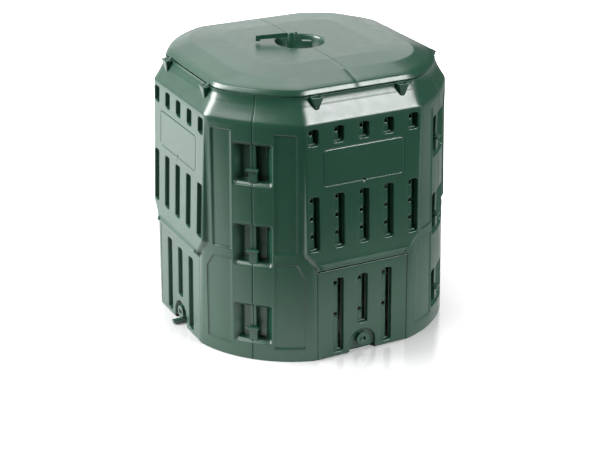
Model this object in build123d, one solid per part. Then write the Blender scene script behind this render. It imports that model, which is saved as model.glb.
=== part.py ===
"""Octagonal plug-together garden composter: four identical walls clipped at the corners,
four bottom hatches with turn latches, and a two-part hinged lid with a locking handle.

Millimetres, +Z up, origin at the centre of the open base on the ground plane.
The front wall faces -Y.  The other walls are the same moulding turned about Z.
"""
import os
from math import atan2, cos, sin, sqrt

from build123d import *

# ------------------------------------------------------------------ driving dimensions
WALL = 4.0                 # moulding thickness
SEAM_GAP = 1.0             # joint between neighbouring walls and between the lid halves

# Body rings, bottom to top: height, half size across flats, half width of a main face,
# distance from the axis to the middle of a bowed corner.
BASE = (0.0, 404.0, 150.0, 440.0)
SHOULDER = (719.0, 390.0, 185.6, 422.0)
COLLAR = (761.0, 362.8, 182.5, 399.0)
RIM = (788.0, 350.8, 173.9, 392.0)
BODY_RINGS = (BASE, SHOULDER, COLLAR, RIM)

# The upper part of each main face is a swollen field, proudest at its lower lip.
PILLOW_TOP_Z = 700.0
PILLOW_LIP_Z = 298.0
PILLOW_LIP_A = 407.5
PILLOW_FOOT_Z = 281.0
PILLOW_BACK = 25.0
PILLOW_HALF = 184.0
PILLOW_HALF_LOW = 150.0
PILLOW_CUT_Z = (292.0, 336.0)   # its lower corners are cut off slantwise over this height

# Ventilation slots
SLOT_PITCH = 79.0
SLOT_WIDTH = 32.0
SLOT_DEPTH = 12.0
SLOT_ROUND = 8.0
TUB_WALL = 3.0
UPPER_VENT_Z = (657.0, 704.0)
LONG_SLOT_Z = (346.0, 508.0)
HATCH_SLOT_Z = (14.0, 247.0)
HATCH_MID_SLOT_Z = (89.0, 245.0)
LONG_SLOT_HOLES = (387.0, 440.0, 494.0)
HATCH_HOLES = (130.0, 228.0)
AIR_HOLE_R = 6.0
AIR_HOLE_SHIFT = 8.0       # the round holes sit left of a slot's middle, the long gap right
AIR_GAP_SHIFT = 7.0
AIR_GAP_WIDTH = 14.0

# Blank label field
LABEL_WIDTH = 260.0
LABEL_HEIGHT = 108.0
LABEL_Z = 587.0
LABEL_LINE = 2.4
LABEL_ROUND = 14.0
LABEL_DEPTH = 1.2
LABEL_HOLE_Z = 535.0

# Corner pockets for the clips: low and high edge of each
POCKETS_Z = ((53.0, 173.0), (293.0, 418.0), (535.0, 658.0))
POCKET_HALF = 57.0
POCKET_FLOOR_HALF = 33.0   # the side walls slope in to the floor
POCKET_DEPTH = 28.0
POCKET_ROUND = 9.0
RAIL_HEAD_HALF = 8.5       # each panel's share of the rail that the clip grips
RAIL_HEAD_THICK = 4.0
RAIL_WEB_HALF = 4.5
RAIL_SINK = 6.0            # the rail head's face lies this far under the corner surface

# Clip
CLIP_LIFT = 5.0            # from the pocket's floor edge to the clip's lower end
CLIP_HEIGHT = 43.0
CLIP_WALL = 3.0
CLIP_PLAY = 0.5
CLIP_TAB_HALF = 18.0
CLIP_TAB_THICK = 5.0
CLIP_TAB_PROUD = 6.0

# Shallow fields on the corner surfaces
FIELD_DEPTH = 2.5
FIELD_INNER = 63.0
FIELD_UPPER_OUTER = 126.0
FIELD_LOWER_OUTER = 150.0
FIELD_UPPER_Z = (335.0, 690.0)
FIELD_LOWER_Z = (40.0, 305.0)
FIELD_CHAMFER_Z = 265.0
FIELD_ROUND = 4.0

# Hatch and its opening
OPENING_HALF = 147.5
OPENING_TOP_Z = 300.0
JAMB_DEPTH = 21.0
SILL_HEIGHT = 18.0
HATCH_HALF = 146.5
HATCH_LOW_Z = 1.0
HATCH_TOP_Z = 276.0
HATCH_AXIS_A = 394.8       # the hinge pins sit in the hatch's own top edge
HATCH_AXIS_Z = 272.0
HATCH_LUG_WIDTH = 16.0
HATCH_LUG_R = 4.0
HATCH_PIN_R = 3.0
PIN_CLEARANCE = 0.05
ARCH_R = 43.0
ARCH_CENTRE_Z = 26.0
ARCH_DEPTH = 12.0
BACKING_LOW_Z = 7.0

# Turn latch in the hatch
KNOB_Z = 37.0
KNOB_R = 19.0
KNOB_SHAFT_R = 8.0
KNOB_STANDOFF = 0.5
KNOB_PROUD = 2.0
KEY_SLOT = (19.0, 11.0)
KEY_SLOT_DEPTH = 8.0
KEY_TOOTH = (4.0, 5.0)     # stands down from the middle of the slot's upper edge
LATCH_LEVER_WIDTH = 15.0
LATCH_LEVER_Z = (3.0, 13.5)
LATCH_LEVER_REACH = 26.0   # how far it stands out of the face
CAM_REACH = 26.0
CAM_WIDTH = 14.0
CAM_THICK = 4.0
CAM_SHAFT_R = 5.0
CAM_SETBACK = JAMB_DEPTH + 1.0   # from the outer face to the cam's front, behind the sill
CAM_NECK_TAIL = 3.0

# Hinge ears on every wall and hinge lugs on the lid
EAR_OFFSET = 135.0
EAR_TOP_Z = 788.0
EAR_LOW_Z = 752.0
LID_AXIS_A = 364.0
LID_AXIS_Z = 780.5
LID_PIN_R = 4.0
LID_PIN_HALF = 14.0
LID_LUG_HALF = 8.0
LID_LUG_R = 6.0
# Side outline of the arm from a lug's eye over the rim to the lid, measured from the hinge axis.
# Its hollow top edge lets the lid stand upright without the arm meeting the ear's front wall.
LID_LUG_ARM = ((2.0, 5.4), (-6.0, 8.8), (-8.8, 9.4), (-8.8, 13.0), (-18.5, 17.0),
               (-17.0, 9.0), (-9.6, 8.3), (-5.3, 2.0))

# Lid rings: height, half size across flats, half width of a side, corner distance
LID_GAP = 0.3
LID_LIP = (RIM[0] + LID_GAP, 351.0, 174.0, 393.0)
LID_LIP_TOP = (803.0, 344.0, 170.5, 386.5)
LID_STEP = (807.0, 334.0, 165.5, 377.5)
LID_CREASE = (821.0, 280.0, 140.0, 338.0)
LID_TOP = (827.0, 190.0, 95.0, 236.0)
LID_RINGS = (LID_LIP, LID_LIP_TOP, LID_STEP, LID_CREASE, LID_TOP)
LID_FLAT_THICK = 4.0
DISH_R = 74.0
DISH_FLOOR_Z = 808.0

# Locking handle
HANDLE_X = -26.0
HUB_R = 15.0
HANDLE_TOP_Z = 862.0
SPINDLE_R = 8.0
LEVER_TOP_Z = (860.0, 853.0)     # at the hub and at the tip
LEVER_LOW_Z = (846.0, 841.0)
LEVER_REACH = 106.0
LEVER_HALF = 6.0
LEVER_TIP_LENGTH = 13.0
LEVER_TIP_HALF = 7.5
LEVER_TIP_LOW_Z = 837.0
LEVER_ANGLE = 158.0
TONGUE_REACH = 63.0
TONGUE_HALF = 8.0
TONGUE_TOP_Z = (831.0, 826.0)    # at the foot of its slope and at its end
TONGUE_SLOPE = (15.0, 30.0)      # how far from the hub's axis the slope starts and ends
TAB_X = 18.0
TAB_Y = (-46.0, -2.0)
RETAINER_R = 14.0
HANDLE_GAP = 0.4           # between the hub and the dish's floor

DIAGONAL = sqrt(0.5)
UPRIGHT = (Align.CENTER, Align.CENTER, Align.MIN)


# ------------------------------------------------------------------ body outline helpers
def ring_at(z):
    """The body ring at a height between the base and the rim, by straight interpolation."""
    for low, high in zip(BODY_RINGS, BODY_RINGS[1:]):
        if z <= high[0]:
            share = (z - low[0]) / (high[0] - low[0])
            return tuple(p + (q - p) * share for p, q in zip(low, high))
    return BODY_RINGS[-1]


def shifted(ring, offset):
    """The ring moved outwards by offset, its facet joints kept on their bisectors."""
    z, flat, half, corner = ring
    return (z, flat + offset, half + offset * (sqrt(2) - 1), corner + offset)


def corner_point(ring, t):
    """Distance from the axis, along the diagonal, of the bowed corner at offset t."""
    _, flat, half, corner = ring
    chord_half = (flat - half) * DIAGONAL
    bow = corner - (flat + half) * DIAGONAL
    radius = (chord_half**2 + bow**2) / (2 * bow)
    return corner - radius + sqrt(radius**2 - t**2)


def right_corner_xy(ring, t):
    """Plan position on the front-right corner, t from its middle towards the front face."""
    n = corner_point(ring, t)
    return ((n - t) * DIAGONAL, -(n + t) * DIAGONAL)


def band_section(ring, outer, inner):
    """Closed plan section of one wall: two half corners and a main face."""
    z = ring[0]

    def half_path(offset):
        moved = shifted(ring, offset)
        chord_half = (moved[1] - moved[2]) * DIAGONAL
        return [right_corner_xy(moved, t) for t in (SEAM_GAP / 2, chord_half / 2, chord_half)]

    out = [Vector(x, y, z) for x, y in half_path(outer)]
    back = [Vector(x, y, z) for x, y in half_path(inner)]
    out_left = [Vector(-p.X, p.Y, z) for p in out]
    back_left = [Vector(-p.X, p.Y, z) for p in back]
    edges = [
        ThreePointArc(out[0], out[1], out[2]),
        Line(out[2], out_left[2]),
        ThreePointArc(out_left[2], out_left[1], out_left[0]),
        Line(out_left[0], back_left[0]),
        ThreePointArc(back_left[0], back_left[1], back_left[2]),
        Line(back_left[2], back[2]),
        ThreePointArc(back[2], back[1], back[0]),
        Line(back[0], out[0]),
    ]
    return make_face(edges)


def band(outer, inner, rings=BODY_RINGS):
    """One wall's share of the layer between two offsets of the body surface."""
    return loft([band_section(ring, outer, inner) for ring in rings], ruled=True)


def upright_plane(low, high):
    """Plane on a main face through two (half size across flats, height) points."""
    lean = atan2(low[0] - high[0], high[1] - low[1])
    return Plane(origin=(0, -low[0], low[1]), x_dir=(1, 0, 0), z_dir=(0, -cos(lean), sin(lean)))


LOWER_FACE = upright_plane((BASE[1], 0), (SHOULDER[1], SHOULDER[0]))
PILLOW_FACE = upright_plane((PILLOW_LIP_A, PILLOW_LIP_Z), (ring_at(PILLOW_TOP_Z)[1], PILLOW_TOP_Z))


def corner_plane(side):
    """Upright plane through the axis, facing the corner on the given side (+1 is +X)."""
    return Plane(origin=(0, 0, 0), x_dir=(DIAGONAL, side * DIAGONAL, 0),
                 z_dir=(side * DIAGONAL, -DIAGONAL, 0))


def prism(plane, sketch, low, high):
    """Solid over a sketch on a plane, between two distances along the plane's normal."""
    return extrude(plane.offset(low) * sketch, high - low, dir=plane.z_dir)


def block(x0, x1, y0, y1, z0, z1):
    centre = ((x0 + x1) / 2, (y0 + y1) / 2, (z0 + z1) / 2)
    return Pos(*centre) * Box(x1 - x0, y1 - y0, z1 - z0)


# ------------------------------------------------------------------ wall features
def vent(plane, u, z_range, hole_heights):
    """A tub to add behind the face, and the cuts: recess, air gap and round air holes."""
    base_z = plane.origin.Z
    low, high = z_range
    middle = (low + high) / 2 - base_z
    height = high - low
    place = Pos(u, middle)
    tub_plan = RectangleRounded(SLOT_WIDTH + 2 * TUB_WALL, height + 2 * TUB_WALL, SLOT_ROUND + TUB_WALL)
    tub = prism(plane, place * tub_plan, -SLOT_DEPTH - TUB_WALL, -1)
    recess = prism(plane, place * RectangleRounded(SLOT_WIDTH, height, SLOT_ROUND), -SLOT_DEPTH, 5)
    gap = Pos(u + AIR_GAP_SHIFT, middle) * RectangleRounded(AIR_GAP_WIDTH, height - SLOT_ROUND, AIR_HOLE_R)
    cuts = [recess, prism(plane, gap, -SLOT_DEPTH - 2 * TUB_WALL, 0)]
    for hole_z in hole_heights:
        hole = Pos(u - AIR_HOLE_SHIFT, hole_z - base_z) * Circle(AIR_HOLE_R)
        cuts.append(prism(plane, hole, -SLOT_DEPTH - 2 * TUB_WALL, 0))
    return tub, cuts


def pillow(offset):
    """The swollen field's solid, moved inwards by offset for its hollow."""
    lip = PILLOW_LIP_A - offset
    top = ring_at(PILLOW_TOP_Z)[1] - offset
    foot = ring_at(PILLOW_FOOT_Z)[1] - offset
    outline = Polyline((0, -foot + PILLOW_BACK, PILLOW_FOOT_Z + offset), (0, -foot, PILLOW_FOOT_Z + offset),
                       (0, -lip + 3, PILLOW_FOOT_Z + 5 + offset), (0, -lip, PILLOW_LIP_Z + offset),
                       (0, -top, PILLOW_TOP_Z), (0, -top + PILLOW_BACK, PILLOW_TOP_Z), close=True)
    wedge = extrude(make_face(outline), SHOULDER[2], dir=(1, 0, 0), both=True)
    low = PILLOW_HALF_LOW - offset
    high = PILLOW_HALF - offset
    cut_low, cut_high = PILLOW_CUT_Z
    plan = make_face(Polyline((-low, PILLOW_FOOT_Z), (low, PILLOW_FOOT_Z), (low, cut_low), (high, cut_high),
                              (high, PILLOW_TOP_Z), (-high, PILLOW_TOP_Z), (-high, cut_high),
                              (-low, cut_low), close=True))
    return wedge & prism(LOWER_FACE, plan, -60, 40)


def ear(side):
    """Open-topped tapering socket that takes a lid hinge lug, with its two pin holes."""
    u = side * EAR_OFFSET

    def shell(half_low, half_high, z_low, z_high, depth_low, depth_high):
        low = Plane((u, 0, z_low)) * Pos(0, -sum(depth_low) / 2)
        high = Plane((u, 0, z_high)) * Pos(0, -sum(depth_high) / 2)
        low_face = low * Rectangle(2 * half_low, depth_low[1] - depth_low[0])
        high_face = high * Rectangle(2 * half_high, depth_high[1] - depth_high[0])
        return loft([low_face, high_face], ruled=True)

    outer = shell(7, 17, EAR_LOW_Z, EAR_TOP_Z, (362, 370), (349, 377))
    hollow = shell(4, 13.5, EAR_LOW_Z + 5, EAR_TOP_Z + 2, (362, 366), (353, 374))
    hole = Pos(u, -LID_AXIS_A, LID_AXIS_Z) * Rot(0, 90, 0) * Cylinder(LID_PIN_R + PIN_CLEARANCE, 60)
    return outer, [hollow, hole]


def corner_pocket(side, z_range):
    """Half of a clip pocket: its tub, the recess, and this wall's half of the rail."""
    plane = corner_plane(side)
    low, high = z_range
    surface = min(ring_at(low)[3], ring_at(high)[3])
    floor = surface - POCKET_DEPTH
    middle = (low + high) / 2
    height = high - low
    seam_trim = Rectangle(400, 2000, align=(Align.MIN if side < 0 else Align.MAX, Align.CENTER))
    own_side = Pos(SEAM_GAP / 2 * (1 if side < 0 else -1), 0) * seam_trim
    own_space = prism(plane, own_side, floor - 2 * WALL, surface + 60)

    def outline(half, grow):
        full = RectangleRounded(2 * (half + grow), height + 2 * grow, POCKET_ROUND + grow)
        return Pos(0, middle) * full

    def funnel(grow, start):
        sections = [plane.offset(start) * outline(POCKET_FLOOR_HALF, grow),
                    plane.offset(surface) * outline(POCKET_HALF, grow)]
        return loft(sections, ruled=True)

    tub = funnel(WALL, floor - WALL) & own_space & band(-1, -2 * POCKET_DEPTH)
    mouth = prism(plane, outline(POCKET_HALF, 0), surface, surface + 50)
    recess = (funnel(0, floor) + mouth) & own_space
    head_face = surface - RAIL_SINK
    head_back = head_face - RAIL_HEAD_THICK
    stem = (Pos(0, middle) * Rectangle(2 * RAIL_WEB_HALF, height)) & own_side
    head = (Pos(0, middle) * Rectangle(2 * RAIL_HEAD_HALF, height)) & own_side
    rail = [prism(plane, stem, floor - 1, head_back + 1), prism(plane, head, head_back, head_face)]
    return tub, recess, rail


def corner_fields(side):
    """Outlines of the two shallow fields beside the pocket column, extruded to cutters."""
    plane = corner_plane(side)
    way = -side

    def cutter(points):
        face = make_face(Polyline(*[(way * t, z) for t, z in points], close=True))
        return prism(plane, fillet(face.vertices(), FIELD_ROUND), 300, 480)

    z0, z1 = FIELD_UPPER_Z
    upper = cutter([(FIELD_INNER, z0), (FIELD_UPPER_OUTER, z0),
                    (FIELD_UPPER_OUTER, z1), (FIELD_INNER, z1)])
    z0, z1 = FIELD_LOWER_Z
    lower = cutter([(FIELD_INNER, z0), (FIELD_LOWER_OUTER, z0), (FIELD_LOWER_OUTER, FIELD_CHAMFER_Z),
                    (FIELD_UPPER_OUTER, z1), (FIELD_INNER, z1)])
    return [upper, lower]


def hatch_frame():
    """Jambs and sill behind the hatch: they carry the hinge holes and stop the hatch."""
    front = BASE[1] - WALL + 1
    back = BASE[1] - JAMB_DEPTH
    top = HATCH_AXIS_Z + 7
    jamb_profile = make_face(Polyline((0, -front, 0), (0, -back, 0), (0, -(back - 5), top),
                                      (0, -(ring_at(top)[1] - 1), top), close=True))
    parts = []
    for side in (-1, 1):
        jamb = extrude(jamb_profile, WALL, dir=(1, 0, 0))
        parts.append(Pos(OPENING_HALF if side > 0 else -OPENING_HALF - WALL, 0, 0) * jamb)
    parts.append(block(-OPENING_HALF - 1, OPENING_HALF + 1, -back - WALL, -back, 0, SILL_HEIGHT))
    return parts


def label_groove():
    centre = Pos(0, LABEL_Z - PILLOW_LIP_Z)
    ring = RectangleRounded(LABEL_WIDTH, LABEL_HEIGHT, LABEL_ROUND)
    ring -= RectangleRounded(LABEL_WIDTH - 2 * LABEL_LINE, LABEL_HEIGHT - 2 * LABEL_LINE,
                             LABEL_ROUND - LABEL_LINE)
    groove = prism(PILLOW_FACE, centre * ring, -LABEL_DEPTH, 3)
    hole = prism(PILLOW_FACE, Pos(0, LABEL_HOLE_Z - PILLOW_LIP_Z) * Circle(AIR_HOLE_R - 1), -10, 3)
    return [groove, hole]


def make_wall():
    """The front wall."""
    swelling = pillow(0) & band(2 * PILLOW_BACK, 1 - WALL)
    hollow = pillow(WALL)
    adds = hatch_frame()
    cuts = []
    columns = [SLOT_PITCH * k for k in range(-2, 3)]
    for u in columns:
        for z_range, holes in ((UPPER_VENT_Z, (690.0,)), (LONG_SLOT_Z, LONG_SLOT_HOLES)):
            tub, cut = vent(PILLOW_FACE, u, z_range, holes)
            adds.append(tub)
            cuts += cut
    for side in (-1, 1):
        outer, ear_cuts = ear(side)
        adds.append(outer)
        cuts += ear_cuts
    opening = block(-OPENING_HALF, OPENING_HALF, -BASE[1] - 1, -300, -1, OPENING_TOP_Z)
    wall = band(0, -WALL) - opening
    wall = wall + swelling - hollow
    wall = wall + adds
    rails = []
    for side in (-1, 1):
        for z_range in POCKETS_Z:
            tub, recess, rail = corner_pocket(side, z_range)
            wall = wall + tub
            cuts.append(recess)
            rails += rail
    pin_hole = Pos(0, -HATCH_AXIS_A, HATCH_AXIS_Z) * Rot(0, 90, 0)
    cuts.append(pin_hole * Cylinder(HATCH_PIN_R + PIN_CLEARANCE, 2 * (OPENING_HALF + WALL + 1)))
    wall = wall - cuts - label_groove()
    skin = band(8, -FIELD_DEPTH)
    fields = [skin & f for side in (-1, 1) for f in corner_fields(side)]
    wall = wall - fields
    return wall + rails


# ------------------------------------------------------------------ clip
def make_clip(z_range):
    """C-shaped clip on the front-right corner, gripping both walls' rail heads."""
    plane = corner_plane(1)
    low, high = z_range
    head_face = min(ring_at(low)[3], ring_at(high)[3]) - RAIL_SINK
    head_back = head_face - RAIL_HEAD_THICK
    z0 = low + CLIP_LIFT
    z1 = z0 + CLIP_HEIGHT
    inner_half = RAIL_HEAD_HALF + CLIP_PLAY
    outer_half = inner_half + CLIP_WALL
    web_half = RAIL_WEB_HALF + CLIP_PLAY
    back = head_back - CLIP_PLAY - CLIP_WALL
    front = head_face + CLIP_PLAY + CLIP_WALL
    middle = Pos(0, (z0 + z1) / 2)
    height = z1 - z0
    body = prism(plane, middle * Rectangle(2 * outer_half, height), back, front)
    channel = prism(plane, middle * Rectangle(2 * inner_half, height + 2),
                    head_back - CLIP_PLAY, head_face + CLIP_PLAY)
    throat = prism(plane, middle * Rectangle(2 * web_half, height + 2), back - 1, head_back)
    tab_place = Pos(0, z1 - CLIP_TAB_THICK / 2)
    tab = prism(plane, tab_place * Rectangle(2 * CLIP_TAB_HALF, CLIP_TAB_THICK),
                head_face + CLIP_PLAY, head_face + RAIL_SINK + CLIP_TAB_PROUD)
    return body - channel - throat + tab


# ------------------------------------------------------------------ hatch
def arch(grow):
    """Arch outline at the hatch's foot, as a sketch on the lower face."""
    radius = ARCH_R + grow
    round_part = Pos(0, ARCH_CENTRE_Z) * Circle(radius)
    leg = Pos(0, ARCH_CENTRE_Z / 2) * Rectangle(2 * radius, ARCH_CENTRE_Z)
    upper = Pos(0, ARCH_CENTRE_Z) * Rectangle(3 * radius, 2 * radius, align=(Align.CENTER, Align.MIN))
    return (round_part & upper) + leg


def make_hatch():
    """The front wall's hatch, with moulded hinge lugs and stub pins."""
    height = HATCH_TOP_Z - HATCH_LOW_Z
    sheet = Pos(0, (HATCH_TOP_Z + HATCH_LOW_Z) / 2) * Rectangle(2 * HATCH_HALF, height)
    hatch = prism(LOWER_FACE, sheet, -WALL, 0)
    adds = [prism(LOWER_FACE, arch(TUB_WALL), -ARCH_DEPTH - TUB_WALL, -1)]
    cuts = [prism(LOWER_FACE, arch(0), -ARCH_DEPTH, 5)]
    cuts.append(block(-ARCH_R - 5, ARCH_R + 5, -BASE[1] - 5, -300, -5, HATCH_LOW_Z))
    cuts.append(block(-ARCH_R, ARCH_R, -BASE[1] - 5, -300, -5, BACKING_LOW_Z))
    for u, z_range in ((-SLOT_PITCH, HATCH_SLOT_Z), (0, HATCH_MID_SLOT_Z), (SLOT_PITCH, HATCH_SLOT_Z)):
        tub, cut = vent(LOWER_FACE, u, z_range, HATCH_HOLES)
        adds.append(tub)
        cuts += cut
    cuts.append(prism(LOWER_FACE, Pos(0, KNOB_Z) * Circle(KNOB_SHAFT_R + PIN_CLEARANCE), -30, 5))
    for side in (-1, 1):
        middle = side * (HATCH_HALF - HATCH_LUG_WIDTH / 2)
        eye = Pos(middle, -HATCH_AXIS_A, HATCH_AXIS_Z) * Rot(0, 90, 0)
        adds.append(eye * Cylinder(HATCH_LUG_R, HATCH_LUG_WIDTH))
        pin = Pos(side * (HATCH_HALF + 2), -HATCH_AXIS_A, HATCH_AXIS_Z) * Rot(0, 90, 0)
        adds.append(pin * Cylinder(HATCH_PIN_R, 5))
    return hatch + adds - cuts


def make_knob(with_lever):
    """Turn latch: hub with a key slot and a shaft through the hatch, some with a foot lever."""
    backing = -ARCH_DEPTH
    centre = Pos(0, KNOB_Z)
    hub = prism(LOWER_FACE, centre * Circle(KNOB_R), backing + KNOB_STANDOFF, KNOB_PROUD)
    shaft = prism(LOWER_FACE, centre * Circle(KNOB_SHAFT_R), -CAM_SETBACK, backing + 1)
    neck_end = -CAM_SETBACK - CAM_THICK - CAM_NECK_TAIL
    neck = prism(LOWER_FACE, centre * Circle(CAM_SHAFT_R), neck_end, backing)
    knob = hub + shaft + neck
    if with_lever:
        low, high = LATCH_LEVER_Z
        bar = Pos(0, (low + high) / 2) * RectangleRounded(LATCH_LEVER_WIDTH, high - low, 2)
        stem = Pos(0, (low + KNOB_Z) / 2) * RectangleRounded(LATCH_LEVER_WIDTH, KNOB_Z - low, 2)
        knob += prism(LOWER_FACE, bar, backing + KNOB_STANDOFF, LATCH_LEVER_REACH)
        knob += prism(LOWER_FACE, stem, backing + KNOB_STANDOFF, 0)
    key = RectangleRounded(*KEY_SLOT, 2)
    key -= Pos(0, KEY_SLOT[1] / 2) * Rectangle(KEY_TOOTH[0], 2 * KEY_TOOTH[1])
    return knob - prism(LOWER_FACE, centre * key, KNOB_PROUD - KEY_SLOT_DEPTH, KNOB_PROUD + 3)


def make_cam():
    """Catch pressed on the latch's shaft; turned down, it reaches behind the sill."""
    plate = Pos(0, KNOB_Z) * Circle(CAM_WIDTH / 2 + 2)
    plate += Pos(-CAM_REACH / 2, KNOB_Z) * Rectangle(CAM_REACH, CAM_WIDTH)
    cam = prism(LOWER_FACE, plate, -CAM_SETBACK - CAM_THICK, -CAM_SETBACK)
    bore = Pos(0, KNOB_Z) * Circle(CAM_SHAFT_R)
    return cam - prism(LOWER_FACE, bore, -CAM_SETBACK - CAM_THICK - 1, -CAM_SETBACK + 1)


# ------------------------------------------------------------------ lid
def full_section(ring, offset, drop):
    """Closed plan section of the whole lid at one ring, lowered by drop."""
    moved = shifted(ring, offset)
    z = ring[0] - drop
    _, flat, half, corner = moved
    mid = corner * DIAGONAL
    corners = [(half, -flat), (flat, -half), (flat, half), (half, flat),
               (-half, flat), (-flat, half), (-flat, -half), (-half, -flat)]
    bows = [(mid, -mid), (mid, mid), (-mid, mid), (-mid, -mid)]
    edges = []
    for k, bow in enumerate(bows):
        start = corners[2 * k]
        end = corners[2 * k + 1]
        after = corners[(2 * k + 2) % 8]
        edges.append(ThreePointArc((*start, z), (*bow, z), (*end, z)))
        edges.append(Line((*end, z), (*after, z)))
    return make_face(edges)


def whole_lid():
    outer = loft([full_section(ring, 0, 0) for ring in LID_RINGS], ruled=True)
    inner_rings = [(ring[0] - 2, *ring[1:]) if ring is LID_LIP else ring for ring in LID_RINGS]
    inner = loft([full_section(inner_rings[0], -WALL, 0)]
                 + [full_section(ring, -WALL, LID_FLAT_THICK) for ring in inner_rings[1:]], ruled=True)
    lid = outer - inner
    floor = DISH_FLOOR_Z - LID_FLAT_THICK
    lid += Pos(0, 0, floor) * Cylinder(DISH_R + WALL, LID_TOP[0] - 2 - floor, align=UPRIGHT)
    return lid - Pos(0, 0, DISH_FLOOR_Z) * Cylinder(DISH_R, 60, align=UPRIGHT)


def tab_block(grow):
    """Small tab of the left half under the handle's tongue."""
    return block(-SEAM_GAP, TAB_X + grow, TAB_Y[0] - grow, TAB_Y[1] + grow,
                 DISH_FLOOR_Z - 2 * LID_FLAT_THICK, DISH_FLOOR_Z + 1)


def lid_lugs(side):
    """Two hinge lugs with stub pins on the lid's left (-1) or right (+1) edge."""
    parts = []
    for way in (-1, 1):
        place = Pos(side * LID_AXIS_A, way * EAR_OFFSET, LID_AXIS_Z) * Rot(90, 0, 0)
        eye = place * Cylinder(LID_LUG_R, 2 * LID_LUG_HALF)
        pin = place * Cylinder(LID_PIN_R, 2 * LID_PIN_HALF)
        outline = [(side * (LID_AXIS_A + a), 0, LID_AXIS_Z + z) for a, z in LID_LUG_ARM]
        arm = make_face(Polyline(*outline, close=True))
        web = Pos(0, way * EAR_OFFSET, 0) * extrude(arm, LID_LUG_HALF, dir=(0, 1, 0), both=True)
        parts += [eye, pin, web]
    return parts


def make_lid_half(side):
    """Left (-1) or right (+1) half of the lid."""
    reach = 500
    keep = block(min(side * reach, side * SEAM_GAP / 2), max(side * reach, side * SEAM_GAP / 2),
                 -reach, reach, 700, 900)
    lid = whole_lid()
    half = lid & keep
    if side < 0:
        half = half + (lid & tab_block(0)) + lid_lugs(side)
        return half - Pos(HANDLE_X, 0, DISH_FLOOR_Z) * Cylinder(SPINDLE_R + PIN_CLEARANCE, 40)
    return half - tab_block(SEAM_GAP / 2) + lid_lugs(side)


# ------------------------------------------------------------------ handle
def make_handle():
    """Turning handle: spindle, hub, long upper lever with a thick tip, sloping tongue."""
    low = DISH_FLOOR_Z + HANDLE_GAP
    hub = Pos(0, 0, low) * Cylinder(HUB_R, HANDLE_TOP_Z - low, align=UPRIGHT)
    hub = fillet(hub.edges().sort_by(Axis.Z)[-1:], 4)
    spindle_low = DISH_FLOOR_Z - LID_FLAT_THICK - 6
    spindle = Pos(0, 0, spindle_low) * Cylinder(SPINDLE_R, low - spindle_low + 1, align=UPRIGHT)

    def bar(outline, half):
        face = make_face(Polyline(*[(u, 0, z) for u, z in outline], close=True))
        return extrude(face, half, dir=(0, 1, 0), both=True)

    lever = bar([(0, LEVER_TOP_Z[0]), (HUB_R, LEVER_TOP_Z[0]), (LEVER_REACH, LEVER_TOP_Z[1]),
                 (LEVER_REACH, LEVER_LOW_Z[1]), (HUB_R, LEVER_LOW_Z[0]), (0, LEVER_LOW_Z[0])], LEVER_HALF)
    tip = block(LEVER_REACH - LEVER_TIP_LENGTH, LEVER_REACH, -LEVER_TIP_HALF, LEVER_TIP_HALF,
                LEVER_TIP_LOW_Z, LEVER_TOP_Z[1] + 0.5)
    near, far = TONGUE_SLOPE
    tongue = bar([(0, low), (0, LEVER_TOP_Z[0] - 4), (near, LEVER_TOP_Z[0] - 4), (far, TONGUE_TOP_Z[0]),
                  (TONGUE_REACH, TONGUE_TOP_Z[1]), (TONGUE_REACH, low)], TONGUE_HALF)
    shape = hub + spindle + Rot(0, 0, LEVER_ANGLE) * (lever + tip) + tongue
    return Pos(HANDLE_X, 0, 0) * shape


def make_retainer():
    """Ring pressed on the spindle under the lid; it holds the handle down."""
    top = DISH_FLOOR_Z - LID_FLAT_THICK - 0.5
    ring = Cylinder(RETAINER_R, 4) - Cylinder(SPINDLE_R, 4)
    return Pos(HANDLE_X, 0, top - 2) * ring


# ------------------------------------------------------------------ assembly
def save(shape, name):
    export_step(shape, f"parts/{name}.step")


def main():
    os.makedirs("parts", exist_ok=True)
    wall = make_wall()
    hatch = make_hatch()
    knob = make_knob(with_lever=False)
    lever_knob = make_knob(with_lever=True)
    cam = make_cam()
    clips = [make_clip(z_range) for z_range in POCKETS_Z]
    sides = ("front", "right", "back", "left")
    corners = ("front_right", "back_right", "back_left", "front_left")
    for turn, (side, corner) in enumerate(zip(sides, corners)):
        spin = Rot(0, 0, 90 * turn)
        save(spin * wall, f"wall_{side}")
        save(spin * hatch, f"hatch_{side}")
        save(spin * (lever_knob if side in ("left", "right") else knob), f"latch_{side}")
        save(spin * cam, f"latch_cam_{side}")
        for level, clip in zip(("low", "middle", "high"), clips):
            save(spin * clip, f"clip_{corner}_{level}")
    save(make_lid_half(-1), "lid_left")
    save(make_lid_half(1), "lid_right")
    save(make_handle(), "lid_handle")
    save(make_retainer(), "handle_retainer")


main()
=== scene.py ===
import math
import bpy
import numpy as np
from mathutils import Matrix, Vector


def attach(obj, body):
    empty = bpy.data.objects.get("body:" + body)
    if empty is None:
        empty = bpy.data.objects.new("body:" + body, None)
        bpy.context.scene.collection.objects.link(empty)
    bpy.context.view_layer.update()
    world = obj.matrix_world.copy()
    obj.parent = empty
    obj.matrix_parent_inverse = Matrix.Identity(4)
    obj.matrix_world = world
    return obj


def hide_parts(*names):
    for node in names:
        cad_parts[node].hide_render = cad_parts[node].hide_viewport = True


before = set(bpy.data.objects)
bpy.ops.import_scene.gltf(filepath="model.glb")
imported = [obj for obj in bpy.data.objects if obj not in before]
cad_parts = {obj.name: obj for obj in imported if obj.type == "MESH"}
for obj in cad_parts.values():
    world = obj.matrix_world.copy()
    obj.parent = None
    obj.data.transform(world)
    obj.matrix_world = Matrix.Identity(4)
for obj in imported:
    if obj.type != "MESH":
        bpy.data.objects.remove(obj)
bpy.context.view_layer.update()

MM = 0.001
DIAG = math.sqrt(0.5)
SIDES = ("front", "right", "back", "left")

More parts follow.
